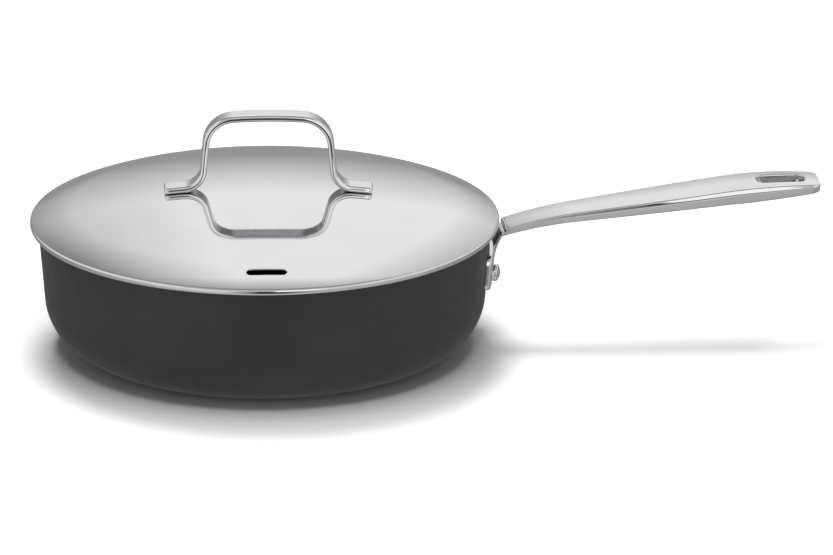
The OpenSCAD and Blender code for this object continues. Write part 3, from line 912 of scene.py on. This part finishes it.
def rivet(side, material):
    """Turned rivet: a high round head outside with a softened shoulder, and a low head inside."""
    inside = -(WALL_T + FIX_GAP + LINING_T) - FIX_GAP
    outside = FLANGE_T + 2 * FIX_GAP
    head, shank = HEAD_D / 2, SHANK_D / 2
    dome_h = HEAD_H - HEAD_SIDE_H
    dome_r = (head ** 2 + dome_h ** 2) / 2 / dome_h
    dome_c = outside + HEAD_H - dome_r
    shoulder_a = math.asin((head - HEAD_SHOULDER_R) / (dome_r - HEAD_SHOULDER_R))
    shoulder_z = dome_c + (dome_r - HEAD_SHOULDER_R) * math.cos(shoulder_a)
    top = arc(0, dome_c, dome_r, 0, math.degrees(shoulder_a), 16)
    top[0] = (0, top[0][1])
    top += arc(head - HEAD_SHOULDER_R, shoulder_z, HEAD_SHOULDER_R,
               math.degrees(shoulder_a), 90, 8)[1:]
    edge = [(head, outside + HEAD_EDGE_R + HEAD_EDGE_ROOM)]
    edge += arc(head - HEAD_EDGE_R, outside + HEAD_EDGE_R, HEAD_EDGE_R, 90, 180, 4)[1:]
    low_w = head * INNER_HEAD_SHARE
    low_r = (head ** 2 + INNER_HEAD_H ** 2) / 2 / INNER_HEAD_H
    low_a = 180 - math.degrees(math.asin(low_w / low_r))
    low = arc(0, inside - INNER_HEAD_H + low_r, low_r, low_a, 180, 14)
    low[-1] = (0, low[-1][1])
    profile = top + edge + [(shank, outside), (shank, inside), (low_w, inside)] + low

    spin = side * math.asin((FLANGE_W / 2 - RIVET_INSET) / wall_x(RIVET_Z))
    place = (Matrix.Rotation(spin, 4, "Z")
             @ Matrix.Translation((wall_x(RIVET_Z) * MM, 0, RIVET_Z * MM))
             @ Matrix.Rotation(math.pi / 2 + LEAN, 4, "Y"))
    name = "rivet_left" if side > 0 else "rivet_right"
    obj = lathe(name + "_turned", profile, 72, 35, place)
    return finish_piece(obj, "pan", "rivet_steel", material, name)


# Studio

def ramp(tree, value, stops):
    """A grey by value, from (position, level) pairs."""
    node = add(tree, "ShaderNodeValToRGB", {"Fac": value})
    elements = node.color_ramp.elements
    while len(elements) < len(stops):
        elements.new(0.5)
    for element, (position, level) in zip(elements, sorted(stops)):
        element.position = position
        element.color = (level, level, level, 1)
    return node.outputs["Color"]


def linear(grey):
    """Light of an sRGB grey of 0 to 255."""
    c = grey / 255
    return c / 12.92 if c <= 0.04045 else ((c + 0.055) / 1.055) ** 2.4


def by_angle(pairs):
    """Ramp stops from (degrees up from the horizon behind, level) pairs."""
    return [((270 - degrees) / 360, level) for degrees, level in pairs]


def by_share(pairs):
    """Ramp stops from (-1..1, level) pairs."""
    return [((x + 1) / 2, level) for x, level in pairs]


def blend(tree, share, first, second):
    """The colour first, and second where share is 1."""
    node = add(tree, "ShaderNodeMix", {"Factor": share, "A": first, "B": second}, data_type="RGBA")
    return node.outputs["Result"]


def blend_shader(tree, share, first, second):
    """The shader first, and second where share is 1."""
    return add(tree, "ShaderNodeMixShader", {"Fac": share, 1: first, 2: second}).outputs["Shader"]


def studio():
    """Light by direction: a broad bright screen behind and above, dimmer sides, a dim front with
    one soft box, and bright ends at the far left and right. The camera sees plain white instead."""
    world = bpy.data.worlds.new("studio")
    bpy.context.scene.world = world
    world.use_nodes = True
    tree = world.node_tree
    tree.nodes.clear()

    coord = add(tree, "ShaderNodeTexCoord", {}).outputs["Generated"]
    turned = add(tree, "ShaderNodeVectorRotate", {"Vector": coord, "Angle": VIEW_TURN},
                 rotation_type="Z_AXIS").outputs["Vector"]
    split = add(tree, "ShaderNodeSeparateXYZ", {"Vector": turned}).outputs
    angle = add(tree, "ShaderNodeMath", {0: split["Y"], 1: split["Z"]},
                operation="ARCTAN2").outputs[0]

    def share_of(value, lowest, highest):
        node = add(tree, "ShaderNodeMapRange",
                   {"Value": value, "From Min": lowest, "From Max": highest})
        return node.outputs["Result"]
    around = share_of(angle, -math.pi, math.pi)
    sideways = share_of(split["X"], -1.0, 1.0)
    upward = share_of(split["Z"], -1.0, 1.0)

    def both(first, second):
        return add(tree, "ShaderNodeMath", {0: first, 1: second}, operation="MULTIPLY").outputs[0]
    middle = ramp(tree, around, by_angle([(a, linear(grey) * GAIN) for a, grey in MIDDLE]))
    sides = ramp(tree, around, by_angle([(a, linear(grey) * GAIN) for a, grey in SIDES]))
    screen = blend(tree, ramp(tree, sideways, by_share(ACROSS)), sides, middle)
    box = both(ramp(tree, around, by_angle(BOX_UP)), ramp(tree, sideways, by_share(BOX_ACROSS)))
    ends = both(ramp(tree, upward, by_share(ENDS_UP)), ramp(tree, sideways, by_share(ENDS_ACROSS)))
    lit = blend(tree, box, screen, (BOX_LEVEL, BOX_LEVEL, BOX_LEVEL, 1))
    lit = blend(tree, ends, lit, (ENDS_LEVEL, ENDS_LEVEL, ENDS_LEVEL, 1))

    def background(inputs):
        return add(tree, "ShaderNodeBackground", inputs).outputs["Background"]
    path = add(tree, "ShaderNodeLightPath", {}).outputs
    light = blend_shader(tree, path["Is Diffuse Ray"], background({"Color": lit}),
                         background({"Color": screen, "Strength": AMBIENT}))
    seen = blend_shader(tree, path["Is Camera Ray"], light, background({"Color": (1, 1, 1, 1)}))
    add(tree, "ShaderNodeOutputWorld", {"Surface": seen})


def floor():
    """A round sheet of pale paper that mirrors do not see."""
    mesh = bpy.data.meshes.new("studio_floor")
    bm = bmesh.new()
    bmesh.ops.create_circle(bm, cap_ends=True, segments=96, radius=FLOOR_R)
    bm.to_mesh(mesh)
    bm.free()
    obj = bpy.data.objects.new("studio_floor", mesh)
    bpy.context.scene.collection.objects.link(obj)
    mat, tree, shader, coord = new_material("studio_paper", Roughness=0.9, Specular_IOR_Level=0.0)
    tint(tree, shader, noise(tree, coord, 3.0), (0.9, 0.9, 0.9), (0.91, 0.91, 0.91))
    mesh.materials.append(mat)
    obj.visible_glossy = False


def soft_light(name, location, target, size, energy):
    """A round lamp that points at target and is not seen itself."""
    data = bpy.data.lights.new(name, "AREA")
    data.shape = "DISK"
    data.size = size
    data.energy = energy
    obj = bpy.data.objects.new(name, data)
    obj.location = location
    obj.rotation_mode = "QUATERNION"
    obj.rotation_quaternion = (Vector(target) - Vector(location)).to_track_quat("-Z", "Y")
    obj.visible_glossy = False
    obj.visible_camera = False
    bpy.context.scene.collection.objects.link(obj)
    return obj


def camera():
    """The photograph's view."""
    elevation, yaw = math.radians(VIEW_ELEVATION), math.radians(VIEW_YAW)
    pitch = math.radians(VIEW_TILT - VIEW_ELEVATION)
    place = Vector((0, -VIEW_DISTANCE * math.cos(elevation), VIEW_DISTANCE * math.sin(elevation)))
    forward = Vector((math.sin(yaw) * math.cos(pitch), math.cos(yaw) * math.cos(pitch),
                      math.sin(pitch)))
    right = Vector((math.cos(yaw), -math.sin(yaw), 0))
    axes = Matrix((right, right.cross(forward), -forward)).transposed().to_4x4()
    data = bpy.data.cameras.new("camera")
    data.sensor_width = SENSOR_W
    data.lens = FOCAL_PIXELS / IMAGE_W * SENSOR_W
    data.clip_end = 200.0
    obj = bpy.data.objects.new("camera", data)
    obj.matrix_world = Matrix.Rotation(-VIEW_TURN, 4, "Z") @ Matrix.Translation(place) @ axes
    bpy.context.scene.collection.objects.link(obj)
    bpy.context.scene.camera = obj


# The scene

bpy.context.scene.view_settings.view_transform = "Standard"
camera()
studio()
floor()
overhead = soft_light("overhead", location=(-0.05, -0.5, 5.1), target=(0.0, 0.0, 0.0),
                      size=3.7, energy=172.0)
soft_light("back_light", location=(-0.15, 2.1, 4.95), target=(0.05, 0.0, 0.0),
           size=2.0, energy=190.0)

mirror_sheet = polished("mirror_sheet_steel", (0.84, 0.845, 0.855), (0.87, 0.875, 0.885),
                        rough=(0.035, 0.055), grain=0.000004)
mirror_strap = polished("mirror_strap_steel", (0.85, 0.855, 0.86), (0.89, 0.895, 0.9),
                        rough=(0.03, 0.05), grain=0.000004)
# a darker, rougher copy of the strap's steel for its inner faces: painted shade
strap_painted_shade = polished("strap_steel_painted_shade", (0.4, 0.402, 0.41), (0.47, 0.472, 0.48),
                       rough=(0.16, 0.24), grain=0.000006)
cast = polished("polished_cast_steel", (0.79, 0.79, 0.795), (0.83, 0.83, 0.835),
                rough=(0.04, 0.08), grain=0.000006, wobble=0.00006)
rivets = polished("rivet_steel", (0.8, 0.8, 0.805), (0.86, 0.86, 0.865),
                  rough=(0.07, 0.13), grain=0.000008)

vessel = pan_vessel(anodised())
pan_coating(nonstick())
base_disc(brushed_in_circles())
dome = lid_dome(mirror_sheet)
lid_strap(mirror_strap, strap_painted_shade)
handle_casting(cast)
rivet(1, rivets)
rivet(-1, rivets)

# The overhead lamp throws the shadow of the bowl and the lid only, and none of the handle.
shadows = bpy.data.collections.new("overhead_shadows")
overhead.light_linking.blocker_collection = shadows
shadows.objects.link(vessel)
shadows.objects.link(dome)
